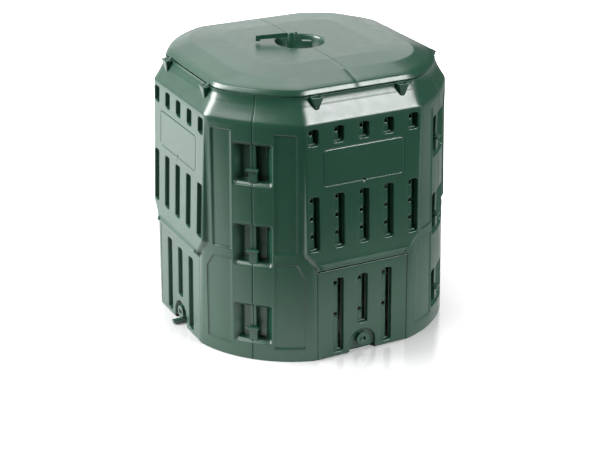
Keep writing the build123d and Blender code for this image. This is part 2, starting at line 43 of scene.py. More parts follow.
# ------------------------------------------------------------------ sizes in mm, as in the CAD part
# Body outline by height: half size across flats, half width of a main face, corner distance.
BODY_Z = (0, 708, 719, 725, 740, 755, 761, 768, 782.5, 784.5, 787.2, 788)
BODY_FLAT = (404, 390.2, 388.9, 385.7, 376.2, 366.9, 363.8, 361.4, 354.3, 356.0, 356.0, 355.2)
BODY_HALF = (150, 185.1, 185.4, 184.8, 183.6, 182.7, 182.3, 180.2, 175.6, 176.2, 176.2, 175.8)
BODY_CORNER = (440, 422.3, 419.6, 416.4, 407.5, 400.5, 398.2, 396.0, 393.2, 394.8, 394.8, 394.2)
VERTEX_ROUND_Z = (0, 330, 700, 740, 788)
VERTEX_ROUND = (9, 9, 9, 22, 24)

PILLOW_FOOT, PILLOW_LIP, PILLOW_TOP = 281.0, 298.0, 700.0
PILLOW_LIP_A, PILLOW_TOP_A = 406.5, 390.4
FLARE_Z, FLARE_OUT = (287.0, 292.0, 297.0, 303.0, 308.0), (5.0, 4.4, 2.6, 0.6, 0.0)
STUDS, STUD_Z = (-136.0, 136.0), 292.0
PILLOW_HALF, PILLOW_LOW_HALF = 184.5, 150.0
PILLOW_CUT = (292.0, 336.0)
PILLOW_EDGE = 10.0

SLOT_PITCH, SLOT_HALF, SLOT_ROUND = 79.0, 16.0, 8.0
UPPER_VENT, LONG_SLOT = (657.0, 704.0), (346.0, 508.0)
UPPER_HOLES, LONG_HOLES = (690.0,), (387.0, 440.0, 494.0)
HATCH_SLOT, HATCH_MID_SLOT, HATCH_HOLES = (14.0, 247.0), (89.0, 245.0), (130.0, 228.0)
HOLE_R, HOLE_SHIFT, HATCH_HOLE_SHIFT = 6.0, -2.0, -5.0
GAP, HATCH_GAP, GAP_DEPTH = (4.0, 13.0), (3.0, 13.0), 20.0
SLOT_RIM_LEFT, SLOT_RIM_RIGHT = (-18.4, -17.2, -16, -15, -13.5, -11, -8), (13, 13.5, 15, 16, 17.2, 18.4)
SLOT_LINES = SLOT_RIM_LEFT + (-6, -4, -2, 0, 2, 4, 5.2, 8, 11.8) + SLOT_RIM_RIGHT
HATCH_SLOT_LINES = SLOT_RIM_LEFT + (-5, -2, 1, 3, 8) + SLOT_RIM_RIGHT
SLOT_ENDS = (-2.4, -1.2, 0, 1, 2.5, 4, 5.2, 7, 10)
SLOT_PROFILE = ((-2.5, -1, 0, 1.2, 2.4), (12, 11.4, 1.7, 0.4, 0))

LABEL = (0.0, 587.0, 130.0, 54.0, 14.0)
LABEL_PROFILE = ((-3.2, -2.4, 0, 0.8), (0, 1.4, 1.4, 0))
DIMPLE = (0.0, 535.0, 5.0)

POCKETS = ((53.0, 173.0), (293.0, 418.0), (535.0, 658.0))
POCKET_HALF, POCKET_ROUND = 57.0, 9.0
POCKET_SIDE = ((-24, -21.5, -2, 0, 1.2, 2.5), (28, 26.5, 4.4, 1.6, 0.5, 0))
POCKET_END = ((-13, -10.5, -8, -1, 0, 1.2, 2.5), (28, 26.5, 9, 3.6, 2, 0.6, 0))
FIELD_DEPTH, FIELD_BEAD = 2.5, 0.7
STRIP_HALF, STRIP_BEHIND, STRIP_DIP = 8.0, 6.2, 28.0
UPPER_FIELD, LOWER_FIELD = (335.0, 690.0), (40.0, 305.0)

OPENING_HALF, HATCH_HALF, HATCH_TOP = 147.5, 146.5, 276.0
ARCH_R, ARCH_Z = 43.0, 26.0
SKIN = 3.2


# ------------------------------------------------------------------ grid helpers
def grid_lines(keys, step):
    """Sorted lines with more added so that no gap is over step."""
    keys = sorted(set(round(float(k), 3) for k in keys))
    out = [keys[0]]
    for low, high in zip(keys, keys[1:]):
        parts = max(1, math.ceil((high - low) / step))
        out += [low + (high - low) * k / parts for k in range(1, parts + 1)]
    return np.array(out)


def ends(span, offsets):
    return [span[0] + k for k in offsets] + [span[1] - k for k in offsets]


def around(middle, half):
    return [middle + half * k / 2 for k in range(-2, 3)]


def rounded(u, v, middle, half, radius, fade):
    """Bends grid lines about a rectangle's corners into arcs."""
    du, dv = u - middle[0], v - middle[1]
    p = np.abs(du) - (half[0] - radius)
    q = np.abs(dv) - (half[1] - radius)
    zone = (p > 1e-9) & (q > 1e-9)
    p, q = np.where(zone, p, 1.0), np.where(zone, q, 1.0)
    most = np.maximum(p, q)
    share = np.clip((radius + fade - most) / fade, 0, 1)
    factor = 1 + share * (most / np.sqrt(p**2 + q**2) - 1)
    new_u = middle[0] + np.sign(du) * (half[0] - radius + p * factor)
    new_v = middle[1] + np.sign(dv) * (half[1] - radius + q * factor)
    return np.where(zone, new_u, u), np.where(zone, new_v, v)


def offset_of(u, v, middle, half):
    """How far outside a rectangle each grid point lies, by its grid lines."""
    return np.maximum(np.abs(u - middle[0]) - half[0], np.abs(v - middle[1]) - half[1])


def slot_box(u, span):
    return (u, (span[0] + span[1]) / 2), (SLOT_HALF, (span[1] - span[0]) / 2)


def grid_faces(rows, columns, gone):
    """Quads of a grid of rows by columns, without those marked as gone."""
    i, j = np.meshgrid(np.arange(rows - 1), np.arange(columns - 1), indexing="ij")
    keep = ~gone
    i, j = i[keep], j[keep]
    a = i * columns + j
    return np.stack([a, a + 1, a + columns + 1, a + columns], axis=1)


def centres(lines):
    return (lines[1:] + lines[:-1]) / 2


# ------------------------------------------------------------------ closed helper shapes
TUBE_SIDES = 24


def rounded_box(low, high, edge):
    """Box with softened edges: vertices and quads."""
    low, high = np.array(low, float), np.array(high, float)
    steps = [np.array([low[k], low[k] + edge, high[k] - edge, high[k]]) for k in range(3)]
    index, verts, faces = {}, [], []
    for i in range(4):
        for j in range(4):
            for k in range(4):
                at_end = [n in (0, 3) for n in (i, j, k)]
                if not any(at_end):
                    continue
                pull = edge * (1 - 1 / math.sqrt(sum(at_end)))
                point = [steps[0][i], steps[1][j], steps[2][k]]
                for axis, n in enumerate((i, j, k)):
                    point[axis] += pull * {0: 1, 3: -1}.get(n, 0)
                index[i, j, k] = len(verts)
                verts.append(point)
    for axis in range(3):
        for end in (0, 3):
            for a in range(3):
                for b in range(3):
                    loop = [(a, b), (a + 1, b), (a + 1, b + 1), (a, b + 1)]
                    keys = [tuple(list(p[:axis]) + [end] + list(p[axis:])) for p in loop]
                    face = [index[k] for k in keys]
                    if (end == 3) == (axis == 1):
                        face.reverse()
                    faces.append(face)
    return np.array(verts), faces


def loft(rings):
    """Closed skin over rings of equal counts; rings run anticlockwise seen from the last one."""
    count = len(rings[0])
    verts = np.concatenate(rings)
    faces = []
    for level in range(len(rings) - 1):
        for k in range(count):
            a, b = level * count + k, level * count + (k + 1) % count
            faces.append([a, b, b + count, a + count])
    base = (len(rings) - 1) * count
    faces.append(list(range(count))[::-1])
    faces.append([base + k for k in range(count)])
    return verts, faces


def rectangle_ring(half_x, half_y, radius, centre, z):
    points, turns = [], 4
    for quarter, (sx, sy) in enumerate(((1, 1), (-1, 1), (-1, -1), (1, -1))):
        for k in range(turns):
            angle = math.pi / 2 * (quarter + k / (turns - 1))
            points.append([centre[0] + sx * (half_x - radius) + radius * math.cos(angle),
                           centre[1] + sy * (half_y - radius) + radius * math.sin(angle), z])
    return np.array(points)


def tube(start, end, radius):
    """Cylinder with softened ends between two points."""
    start, end = Vector(start), Vector(end)
    axis = (end - start).normalized()
    side = axis.orthogonal().normalized()
    other = axis.cross(side)
    edge = min(0.8, radius / 4)
    rings = []
    for along, r in ((start, radius - edge), (start + axis * edge, radius),
                     (end - axis * edge, radius), (end, radius - edge)):
        turn = [2 * math.pi * k / TUBE_SIDES for k in range(TUBE_SIDES)]
        rings.append(np.array([along + side * (r * math.cos(a)) + other * (r * math.sin(a)) for a in turn]))
    return loft(rings)


def joined(parts):
    verts, faces, base = [], [], 0
    for v, f in parts:
        verts.append(np.asarray(v, float))
        faces += [[int(i) + base for i in face] for face in f]
        base += len(v)
    return np.concatenate(verts), faces


def mesh_of(name, parts):
    """Smooth-shaded mesh from parts in mm."""
    verts, faces = joined(parts)
    mesh = bpy.data.meshes.new(name)
    mesh.from_pydata((verts * MM).tolist(), [], faces)
    mesh.update()
    mesh.polygons.foreach_set("use_smooth", [True] * len(mesh.polygons))
    return mesh


def thick_mesh(name, grid, closed, skin):
    """A grid given thickness inwards, with closed shapes added beside it."""
    sheet = mesh_of(name + "_sheet", [grid])
    holder = bpy.data.objects.new(name + "_holder", sheet)
    bpy.context.scene.collection.objects.link(holder)
    solid = holder.modifiers.new("thickness", "SOLIDIFY")
    solid.thickness = skin * MM
    solid.offset = -1
    solid.use_rim = True
    depsgraph = bpy.context.evaluated_depsgraph_get()
    made = holder.evaluated_get(depsgraph).to_mesh()
    verts = np.zeros(len(made.vertices) * 3)
    made.vertices.foreach_get("co", verts)
    faces = [list(p.vertices) for p in made.polygons]
    holder.evaluated_get(depsgraph).to_mesh_clear()
    bpy.data.objects.remove(holder)
    bpy.data.meshes.remove(sheet)
    return mesh_of(name, [(verts.reshape(-1, 3) / MM, faces)] + closed)


# ------------------------------------------------------------------ the body's outline
def ring(z):
    """Half size across flats, half main-face width and corner distance at heights z."""
    return [np.interp(z, BODY_Z, values) for values in (BODY_FLAT, BODY_HALF, BODY_CORNER)]


def corner_arc(z):
    flat, half, corner = ring(z)
    chord = (flat - half) * DIAG
    bow = corner - (flat + half) * DIAG
    radius = (chord**2 + bow**2) / (2 * bow)
    return flat, half, corner, radius


def corner_x(t, z):
    """Plan x of the corner surface at offset t from its middle."""
    _, _, corner, radius = corner_arc(z)
    return (corner - radius + np.sqrt(radius**2 - t**2) - t) * DIAG


def outline_y(x, z):
    """How far out the body's surface is at plan position x, its facet joint sharp."""
    flat, half, corner, radius = corner_arc(z)
    centre = (corner - radius) * DIAG
    reach = np.sqrt(np.maximum(radius**2 - (np.abs(x) - centre) ** 2, 0))
    return np.where(np.abs(x) <= half, flat, reach + centre)


def soft_outline_y(x, z):
    """The same with its facet joint rounded."""
    window = np.interp(z, VERTEX_ROUND_Z, VERTEX_ROUND)
    total, weight = 0, 0
    for share in np.linspace(-1, 1, 9):
        w = 1 - abs(share) * 0.8
        total = total + w * outline_y(np.abs(x) + share * window, z)
        weight += w
    return total / weight


# ------------------------------------------------------------------ wall
def gap_mask(u, z, span):
    """1 over a slot's long air gap, with a narrow slope at its edge."""
    inside = np.minimum(np.minimum(u - GAP[0], GAP[1] - u), np.minimum(z - span[0] - 4, span[1] - 4 - z))
    return np.clip(inside / 1.2, 0, 1)


def wall_rows():
    keys = [0, 1.5, 4, 700, 712, 716, 719, 722, 726, 758, 761, 764, 768, 784, 787, 788]
    keys += ends(UPPER_VENT, SLOT_ENDS) + ends(LONG_SLOT, SLOT_ENDS)
    for z in UPPER_HOLES + LONG_HOLES:
        keys += around(z, HOLE_R)
    keys += ends((LABEL[1] - LABEL[3], LABEL[1] + LABEL[3]), (-0.8, 0, 2.4, 3.2, 6, 10))
    keys += [DIMPLE[1] - DIMPLE[2], DIMPLE[1] + DIMPLE[2]]
    for span in POCKETS:
        keys += ends(span, (-2.5, -1.2, 0, 1, 3, 6, 8, 9.2, 10.5, 13))
    for span in (UPPER_FIELD, LOWER_FIELD):
        keys += ends(span, (0, 1.5))
    keys += [265, PILLOW_FOOT, 283, 285.5, 288.5, 292, 296, 301, 306, 311, 316, 321, 326, 331, 341]
    return grid_lines(keys, 12)


def wall_columns():
    keys = [-176, 176, -OPENING_HALF, OPENING_HALF, 2.5, 5, -2.5]
    for k in range(-2, 3):
        keys += [k * SLOT_PITCH + line for line in SLOT_LINES]
    for side in (-1, 1):
        keys += [side * (LABEL[2] + k) for k in (0.8, 0, -2.4, -3.2, -6, -10)]
    return grid_lines(keys, 9)


EDGE_SHARES = (0.25, 0.6, 0.87, 1.0)
CORNER_T = (64.5, 63, 61.5, 59.5, 58.2, 57, 56, 55, 52.5, 50, 48, 44, 40, 37, 35.5, 33, 30, 24, 16, 10,
            5, 2, 0.5)


def field_edge_t(z):
    """The column that follows the corner fields' outer edge."""
    chord = (lambda r: (r[0] - r[1]) * DIAG)(ring(z))
    wanted = np.interp(z, (0, 265, 305, 2000), (150, 150, 126, 126))
    return np.minimum(wanted, chord - 10)


def make_wall_grid():
    rows, middle = wall_rows(), wall_columns()
    z = rows[:, None]
    edge_t = field_edge_t(z)
    edge_x = corner_x(edge_t, z)
    pillow_x = np.minimum(PILLOW_HALF, (176 + edge_x) / 2)
    x_side = [176 + (pillow_x - 176) * share for share in EDGE_SHARES]
    x_side += [pillow_x + (edge_x - pillow_x) * share for share in (0.4, 0.75)]
    t_side = [edge_t, edge_t - 1.5]
    t_side += [edge_t - 1.5 + (64.5 - edge_t + 1.5) * k / 8 for k in range(1, 8)]
    t_side += [np.full_like(z, t) for t in CORNER_T]

    # right part of the grid, from the main face to the seam
    t = np.concatenate(t_side, axis=1)
    zt = np.repeat(z, t.shape[1], axis=1)
    flat_t, flat_z = t.copy(), zt.copy()
    depth_t = np.zeros_like(t)
    for low, high in POCKETS:
        box = (0, (low + high) / 2), (POCKET_HALF, (high - low) / 2)
        side = np.interp(np.abs(flat_t) - POCKET_HALF, *POCKET_SIDE)
        end = np.interp(np.abs(flat_z - box[0][1]) - box[1][1], *POCKET_END)
        depth_t = np.maximum(depth_t, np.minimum(side, end))
        t, zt = rounded(t, zt, *box, POCKET_ROUND, 3)
    column = np.arange(t.shape[1])[None, :]
    for low, high in (UPPER_FIELD, LOWER_FIELD):
        inside = (column >= 1) & (column <= 9) & (flat_z > low + 1) & (flat_z < high - 1)
        edge = (column <= 10) & (flat_z > low - 0.1) & (flat_z < high + 0.1) & ~inside
        depth_t = np.where(inside, FIELD_DEPTH, np.where(edge, -FIELD_BEAD, depth_t))
    depth_t += np.interp(flat_t, (0.5, 2), (0.9, 0))
    depth_t += np.interp(flat_z, (0, 1.5), (0.9, 0))
    x_t = corner_x(t, zt)
    right_t = np.stack([x_t - depth_t * DIAG, -soft_outline_y(x_t, zt) + depth_t * DIAG, zt], axis=2)

    # main face and its soft edge
    x_right = np.concatenate(x_side, axis=1)
    x = np.concatenate([-x_right[:, ::-1], np.repeat(middle[None, :], len(rows), axis=0), x_right], axis=1)
    zx = np.repeat(z, x.shape[1], axis=1)
    flat_x, flat_z = x.copy(), zx.copy()
    depth = np.zeros_like(x)
    for k in range(-2, 3):
        for span, holes in ((UPPER_VENT, UPPER_HOLES), (LONG_SLOT, LONG_HOLES)):
            box = slot_box(k * SLOT_PITCH, span)
            depth = np.maximum(depth, np.interp(offset_of(flat_x, flat_z, *box), *SLOT_PROFILE))
            depth += GAP_DEPTH * gap_mask(flat_x - k * SLOT_PITCH, flat_z, span)
            x, zx = rounded(x, zx, *box, SLOT_ROUND, 5)
            for hole in holes:
                centre = (k * SLOT_PITCH + HOLE_SHIFT, hole)
                x, zx = rounded(x, zx, centre, (HOLE_R, HOLE_R), HOLE_R, 1.9)
    label = (LABEL[0], LABEL[1]), (LABEL[2], LABEL[3])
    depth = np.maximum(depth, np.interp(offset_of(flat_x, flat_z, *label), *LABEL_PROFILE, left=0))
    x, zx = rounded(x, zx, *label, LABEL[4], 8)
    dimple = DIMPLE[:2], (DIMPLE[2], DIMPLE[2])
    depth = np.where(offset_of(flat_x, flat_z, *dimple) < -0.1, 6.0, depth)
    x, zx = rounded(x, zx, *dimple, DIMPLE[2], 2)
    base = soft_outline_y(x, zx)
    plane = np.interp(zx, (PILLOW_LIP, PILLOW_TOP), (PILLOW_LIP_A, PILLOW_TOP_A))
    plane = plane + np.interp(zx, FLARE_Z, FLARE_OUT)
    side = np.abs(x)
    cut = ((zx - PILLOW_CUT[0]) * 34 - (side - PILLOW_LOW_HALF) * 44) / 55.6
    inner = np.minimum(zx - PILLOW_FOOT, PILLOW_LOW_HALF - side)
    wide = np.minimum(np.minimum(cut, PILLOW_HALF - side), zx - PILLOW_FOOT)
    inset = np.clip(np.maximum(inner, wide) / PILLOW_EDGE, 0, 1)
    swell = np.sqrt(1 - (1 - inset) ** 2) * np.maximum(plane - base, 0) * (zx < PILLOW_TOP)
    depth += np.interp(flat_z, (0, 1.5), (0.9, 0))
    face = np.stack([x, -(base + swell) + depth, zx], axis=2)

    left_t = right_t[:, ::-1] * np.array([-1, 1, 1])
    points = np.concatenate([left_t, face, right_t], axis=1)
    mid_x = np.concatenate([np.full(left_t.shape[1], -1e3), (flat_x[0]), np.full(right_t.shape[1], 1e3)])
    cx, cz = centres(mid_x)[None, :], centres(rows)[:, None]
    gone = (np.abs(cx) < OPENING_HALF) & (cz < PILLOW_FOOT)
    for k in range(-2, 3):
        u = k * SLOT_PITCH
        for span, holes in ((UPPER_VENT, UPPER_HOLES), (LONG_SLOT, LONG_HOLES)):
            for hole in holes:
                gone |= (cx > u - HOLE_R + HOLE_SHIFT) & (cx < u + GAP[0]) & (np.abs(cz - hole) < HOLE_R)
    return points.reshape(-1, 3), grid_faces(len(rows), points.shape[1], gone)


def leaned(part, lean):
    verts, faces = part
    verts = verts.copy()
    verts[:, 1] += verts[:, 2] * lean
    return verts, faces


def turned(part, degrees, shift=(0, 0, 0)):
    verts, faces = part
    a = math.radians(degrees)
    spin = np.array([[math.cos(a), -math.sin(a), 0], [math.sin(a), math.cos(a), 0], [0, 0, 1]])
    return verts @ spin.T + np.array(shift), faces


EAR_U = 135.0
EAR_RINGS = (  # half width, half depth, corner radius, y, z
    (5.5, 3, 2.5, -366, 751.5), (7, 4, 2.5, -366, 753), (16.2, 13.4, 3, -363, 785.5),
    (17.2, 14, 3, -363, 786.4), (16.7, 13.6, 3, -363, 788), (13.8, 10.6, 2, -363.5, 788),
    (13.2, 10.2, 2, -363.5, 787), (4.5, 2.4, 1.5, -364.5, 758))
CLIP_RAIL = ((4.5, 29, 9), (8.5, 10, 6))  # half width, back and front below the corner's surface


def ear(u):
    """Open-topped tapering hinge socket."""
    return loft([rectangle_ring(*halves, radius, (u, y), z) for *halves, radius, y, z in EAR_RINGS])


def seam_strip():
    """Strip behind the corner seam that closes the joint with the next wall."""
    stops = [(0.3, 0), *((z, 0) for z in BODY_Z[1:-3]), (786, 0)]
    for low, high in POCKETS:
        stops += [(low - 12, 0), (low - 3, STRIP_DIP), (high + 3, STRIP_DIP), (high + 12, 0)]
    rings = [rectangle_ring(STRIP_HALF, 1.5, 0.5, (0, STRIP_BEHIND + dip - ring(np.array(z))[2]), z)
             for z, dip in sorted(stops)]
    return turned(loft(rings), 45)


def make_wall_mesh():
    closed = [leaned(rounded_box((side * OPENING_HALF + (0 if side > 0 else -4), -400.5, 0.2),
                                 (side * OPENING_HALF + (4 if side > 0 else 0), -383.2, 279), 0.8), 0.0185)
              for side in (-1, 1)]
    closed.append(rounded_box((-148.5, -387, 0.2), (148.5, -383.2, 18), 0.8))
    closed.append(rounded_box((-148.5, -388.5, 264), (148.5, -385.3, 300), 0.8))
    for u in STUDS:
        closed.append(tube((u, -405, STUD_Z), (u, -412.5, STUD_Z), 6.5))
        closed.append(tube((u, -405, STUD_Z), (u, -414, STUD_Z), 3))
    for side in (-1, 1):
        closed.append(ear(side * EAR_U))
        for low, high in POCKETS:
            surface = ring(np.array(high))[2]
            for half, back, front in CLIP_RAIL:
                t0, t1 = sorted((side * 0.6, side * half))
                bar = rounded_box((t0, front - surface, low + 0.6), (t1, back - surface, high - 0.6), 0.9)
                closed.append(turned(bar, 45 * side))
    closed.append(seam_strip())
    return thick_mesh("wall", make_wall_grid(), closed, SKIN)


# ------------------------------------------------------------------ hatch
HATCH_HINGE = (-394.8, 272.0)
HATCH_PIN = ((130.5, 146.5, 4), (144, 151, 3))  # from, to, radius


def face_out(z):
    """How far out a leaning main face is at height z."""
    return 404 - 14 * z / 719


def make_hatch_mesh():
    columns = [0, 22, 28, 34, 38, 41, 42, 43, 44.5, 145.6, 144, HATCH_HALF]
    columns += [-c for c in columns]
    for k in (-1, 0, 1):
        columns += [k * SLOT_PITCH + line for line in HATCH_SLOT_LINES]
    columns = grid_lines(columns, 9)
    top = ARCH_Z + ARCH_R
    rows = [1, 2, 4, 7, 26, 36, 44, 52, 59, 64, top - 2, top - 1, top, top + 1.5, 273, 275, HATCH_TOP]
    rows += ends(HATCH_SLOT, SLOT_ENDS) + ends(HATCH_MID_SLOT, SLOT_ENDS)
    for z in HATCH_HOLES:
        rows += around(z, HOLE_R)
    rows = grid_lines(rows, 10)
    x, z = np.meshgrid(columns, rows)
    flat_x, flat_z = x.copy(), z.copy()
    depth = np.zeros_like(x)
    for k in (-1, 0, 1):
        span = HATCH_MID_SLOT if k == 0 else HATCH_SLOT
        box = slot_box(k * SLOT_PITCH, span)
        depth = np.maximum(depth, np.interp(offset_of(flat_x, flat_z, *box), *SLOT_PROFILE))
        x, z = rounded(x, z, *box, SLOT_ROUND, 5)
        for hole in HATCH_HOLES:
            x, z = rounded(x, z, (k * SLOT_PITCH + HATCH_HOLE_SHIFT, hole), (HOLE_R, HOLE_R), HOLE_R, 1.9)
    arch = (0, top - 64.5), (ARCH_R, 64.5)
    depth = np.maximum(depth, np.interp(offset_of(flat_x, flat_z, *arch), (-2, -1, 0, 1.5), (12, 11.2, 1, 0)))
    x, z = rounded(x, z, *arch, ARCH_R, 9)
    depth += np.interp(np.abs(flat_x), (144, 145.6, HATCH_HALF), (0, 0.35, 1.5))
    depth += np.interp(flat_z, (1, 2, 4, 273, 275, HATCH_TOP), (1.2, 0.3, 0, 0, 0.4, 1.8))
    points = np.stack([x, -face_out(z) + depth, z], axis=2)
    cx, cz = centres(columns)[None, :], centres(rows)[:, None]
    gone = (np.abs(cx) < ARCH_R) & (cz < 7)
    for k in (-1, 0, 1):
        u = k * SLOT_PITCH
        span = HATCH_MID_SLOT if k == 0 else HATCH_SLOT
        gone |= (cx > u + HATCH_GAP[0]) & (cx < u + HATCH_GAP[1]) & (cz > span[0] + 4) & (cz < span[1] - 4)
        for hole in HATCH_HOLES:
            gone |= (np.abs(cx - u - HATCH_HOLE_SHIFT) < HOLE_R) & (np.abs(cz - hole) < HOLE_R)
    closed = []
    for side in (-1, 1):
        for inner, outer, radius in HATCH_PIN:
            closed.append(tube((side * inner, *HATCH_HINGE), (side * outer, *HATCH_HINGE), radius))
    grid = points.reshape(-1, 3), grid_faces(len(rows), len(columns), gone)
    return thick_mesh("hatch", grid, closed, SKIN)


# ------------------------------------------------------------------ lid
LID_KEYS = (  # z, half across flats, half side width, corner distance, 0 round to 1 octagonal
    (805.0, 71.5, 30, 71.5, 0), (809.0, 72.3, 30, 72.3, 0), (823.0, 74.2, 30, 74.2, 0),
    (826.4, 75.5, 30, 75.5, 0), (827.2, 78.5, 30, 78.5, 0), (827.0, 84, 35, 86, 0),
    (827.0, 190, 95, 236, 1), (821.0, 280, 140, 338, 1), (807.0, 334, 165.5, 377.5, 1),
    (802.8, 344.0, 170.5, 386.5, 1), (791.6, 350.2, 173.7, 392.2, 1), (790.6, 350.2, 173.7, 392.2, 1),
    (790.6, 346.5, 172.2, 389.0, 1), (788.5, 345.8, 171.9, 388.4, 1))


def octagon_half(flat, half, corner, q):
    """Right half outline; q runs 0 to 5 from the front seam to the back one."""
    chord = (flat - half) * DIAG
    bow = corner - (flat + half) * DIAG
    radius = (chord**2 + bow**2) / (2 * bow)
    centre = corner - radius
    spread = math.asin(chord / radius)

    def arc(share, middle):
        angle = middle + (share - 0.5) * 2 * spread
        mid = math.copysign(centre * DIAG, middle)
        return centre * DIAG + radius * np.cos(angle), mid + radius * np.sin(angle)

    q = np.clip(q, -0.2, 5.2)
    a1, a2 = arc(q - 1, -math.pi / 4), arc(q - 3, math.pi / 4)
    level = np.full_like(q, flat)
    spans = [q < 1, q < 2, q < 3, q < 4]
    x = np.select(spans, [half * q, a1[0], level, a2[0]], half * (5 - q))
    y = np.select(spans, [-level, a1[1], half * (2 * (q - 2) - 1), a2[1]], level)
    return x, y


def soft_half(flat, half, corner, q):
    xs, ys, total = 0, 0, 0
    for step in np.linspace(-1, 1, 7):
        w = 1 - 0.7 * abs(step)
        x, y = octagon_half(flat, half, corner, q + step * 0.035)
        xs, ys, total = xs + w * x, ys + w * y, total + w
    return xs / total, ys / total


def lid_stations():
    keys = np.array(LID_KEYS, float)
    run = np.concatenate([[0], np.cumsum(np.hypot(np.diff(keys[:, 1]), np.diff(keys[:, 0])))])
    stops = [0]
    for k in range(len(run) - 1):
        gap = run[k + 1] - run[k]
        soft = min(5.0, gap / 4)
        inner = np.linspace(run[k] + soft, run[k + 1] - soft, max(2, int(gap / 16) + 1))
        stops += [run[k] + soft / 2, *inner, run[k + 1] - soft / 2, run[k + 1]]
    stops = np.unique(np.round(stops, 3))
    values = []
    for column in range(5):
        total = 0
        for step in np.linspace(-1, 1, 5):
            near = np.interp(stops, run, np.gradient(run))
            total = total + np.interp(stops + step * np.minimum(4.0, near / 5), run, keys[:, column])
        values.append(total / 5)
    return np.stack(values, axis=1)


def make_lid_grid(side):
    q = np.unique(np.concatenate([np.linspace(0, 1, 11), np.linspace(1, 2, 17), np.linspace(2, 3, 21),
                                  np.linspace(3, 4, 17), np.linspace(4, 5, 11)]))
    angle_x, angle_y = soft_half(190, 95, 236, q)
    angle_x[0] = angle_x[-1] = 0
    length = np.hypot(angle_x, angle_y)
    rows = []
    for z, flat, half, corner, octagonal in lid_stations():
        x, y = flat * angle_x / length, flat * angle_y / length
        if octagonal > 0:
            ox, oy = soft_half(flat, half, corner, q) if octagonal > 0.999 else soft_half(
                flat, half, max(corner, (flat + half) * DIAG + 3), q)
            x, y = x + (ox - x) * octagonal, y + (oy - y) * octagonal
        x[0] = x[-1] = 0.5
        rows.append(np.stack([side * np.maximum(x, 0.5), y, np.full_like(x, z)], axis=1))
    points = np.stack(rows)
    faces = grid_faces(len(rows), len(q), np.zeros((len(rows) - 1, len(q) - 1), bool))
    if side < 0:
        faces = faces[:, ::-1]
    return points.reshape(-1, 3), faces


def dish_floor(side):
    """The dish's floor on one half; the left one has the tab that lies under the tongue."""
    radius = 73.5
    points = []
    for k in range(33):
        angle = -math.pi / 2 + math.pi * k / 32
        points.append([max(0.5, radius * math.cos(angle)), radius * math.sin(angle)])
    if side > 0:
        notch = [[0.5, -1.5], [18.5, -1.5], [18.5, -46.5], [0.5, -46.5]]
    else:
        points = [[-p[0], p[1]] for p in points][::-1]
        notch = [[-0.5, -46], [18, -46], [18, -2], [-0.5, -2]]
    outline = np.array(points + notch)
    rings = []
    for z, grow in ((804.2, 0), (807.6, 0), (808, -0.25)):
        flat = outline.copy()
        flat[:, 0] += np.where(np.abs(flat[:, 0]) < 1, side * -grow, 0)
        rings.append(np.column_stack([flat, np.full(len(flat), z)]))
    return loft(rings)


LUG_ARM = ((366, 785.9), (358, 789.3), (355.2, 789.9), (355.2, 793.5), (345.5, 797.5), (347, 789.5),
           (354.4, 788.8), (358.7, 782.5))


def lid_lugs(side):
    parts = []
    for way in (-1, 1):
        y = way * EAR_U
        parts.append(tube((side * 364, y - 8, 780.5), (side * 364, y + 8, 780.5), 6))
        parts.append(tube((side * 364, y - 14, 780.5), (side * 364, y + 14, 780.5), 4))
        rings = []
        for place, inset in ((-8, 0.06), (-7, 0), (7, 0), (8, 0.06)):
            middle = np.array([358, 789])
            out, up = (middle + (np.array(LUG_ARM) - middle) * (1 - inset)).T
            rings.append(np.column_stack([side * out, np.full(len(out), y + place), up]))
        parts.append(loft(rings if side > 0 else rings[::-1]))
    return parts


# ------------------------------------------------------------------ camera
BACK = Vector((-0.4161, -0.8179, 0.3973)).normalized()
CAMERA_AT = (-1.9908, -3.9140, 2.1431)
LENS = 93.23


def make_camera():
    data = bpy.data.cameras.new("camera")
    data.sensor_width = 36
    data.lens = LENS
    camera = bpy.data.objects.new("camera", data)
    bpy.context.scene.collection.objects.link(camera)
    camera.location = CAMERA_AT
    camera.rotation_mode = "QUATERNION"
    camera.rotation_quaternion = (-BACK).to_track_quat("-Z", "Y")
    bpy.context.scene.camera = camera


# ------------------------------------------------------------------ light
LIGHTS = (  # name, place, target, size, watts
    ("key_left", (-3.6, 1.7, 2.2), (0, 0, 0.5), (2.4, 2.2), 460),
    ("left_high", (-2.9, -0.5, 3.4), (0, 0, 0.7), (1.6, 1.6), 80),
    ("top", (0.2, 1.4, 3.6), (0, 0, 0.7), (3.4, 2.6), 90),
    ("front_right", (1.83, -3.55, 2.95), (0.1, -0.2, 0.5), (1.8, 2.0), 300),
    ("right_fill", (3.6, -2.6, 1.2), (0, 0, 0.4), (1.4, 1.4), 25),
    ("backdrop", (0.6, 5.2, 2.4), (0, 0, 0.9), (7.0, 4.0), 120))
WORLD_LIGHT, WORLD_SEEN = 0.12, 1.0


def area_light(name, place, target, size, power):
    data = bpy.data.lights.new(name, "AREA")
    data.shape = "RECTANGLE"
    data.size, data.size_y = size
    data.energy = power
    light = bpy.data.objects.new(name, data)
    bpy.context.scene.collection.objects.link(light)
    light.location = place
    light.rotation_mode = "QUATERNION"
    light.rotation_quaternion = (Vector(target) - Vector(place)).to_track_quat("-Z", "Y")


